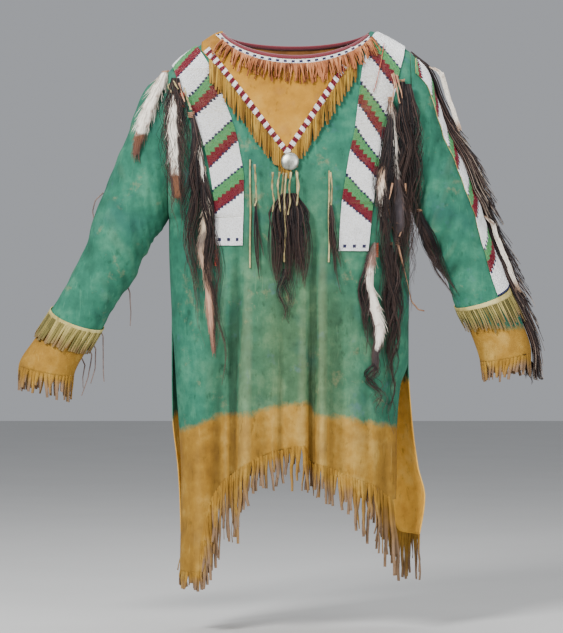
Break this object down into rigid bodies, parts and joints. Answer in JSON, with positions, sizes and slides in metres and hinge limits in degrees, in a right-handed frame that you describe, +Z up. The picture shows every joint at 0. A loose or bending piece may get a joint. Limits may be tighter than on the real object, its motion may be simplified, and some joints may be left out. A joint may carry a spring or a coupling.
{
  "type": "buckskin war shirt",
  "caption": "Painted hide pullover shirt with beaded strips, a fringed bib, cut fringes and hair and ermine locks, filled out as worn and empty inside.",
  "frame": {"origin": "between the wearer's shoulders, level with the shoulder line and midway from front to back", "axes": "+Z up, -Y out of the shirt's front, +X to the wearer's left"},
  "size_m": [1.1101, 0.278, 1.1921],
  "materials": {
    "green_hide": "suede, painted and mottled",
    "ochre_hide": "suede, painted",
    "pale_hide": "suede",
    "salmon_hide": "suede",
    "seed_beads": "opaque glass seed beads",
    "red_cloth": "wool",
    "silver_disk": "worn polish",
    "dark_hair": "hair",
    "ermine": "fur"
  },
  "bodies": {
    "root": {"front_panel": "green_hide", "back_panel": "green_hide", "sleeve_right": "green_hide", "sleeve_left": "green_hide", "hem_fringe_front": "ochre_hide", "hem_fringe_back": "ochre_hide", "cuff_right": "ochre_hide", "cuff_left": "ochre_hide", "cuff_end_fringe_right": "ochre_hide", "cuff_end_fringe_left": "ochre_hide", "bib": "ochre_hide", "bib_fringe_right": "ochre_hide", "bib_fringe_left": "ochre_hide", "cuff_band_fringe_right": "pale_hide", "cuff_band_fringe_left": "pale_hide", "thong_center_right": "pale_hide", "thong_center_left": "pale_hide", "thong_chest_right": "pale_hide", "thong_chest_left": "pale_hide", "neck_fringe": "salmon_hide", "shoulder_strip_right": "seed_beads", "shoulder_strip_left": "seed_beads", "sleeve_strip_right": "seed_beads", "sleeve_strip_left": "seed_beads", "bib_band_right": "seed_beads", "bib_band_left": "seed_beads", "neck_bead_band": "seed_beads", "neck_binding_front": "red_cloth", "neck_binding_back": "red_cloth", "disk": "silver_disk", "hair_lock_center": "dark_hair", "hair_lock_chest_right": "dark_hair", "hair_lock_chest_left": "dark_hair", "hair_right_upper": "dark_hair", "hair_right_lower": "dark_hair", "hair_left_upper": "dark_hair", "hair_left_lower": "dark_hair", "hair_underarm_left": "dark_hair", "sleeve_hair_left": "dark_hair", "ermine_right_outer": "ermine", "ermine_right_inner": "ermine", "ermine_left_upper": "ermine", "ermine_left_lower": "ermine"}
  },
  "joints": []
}
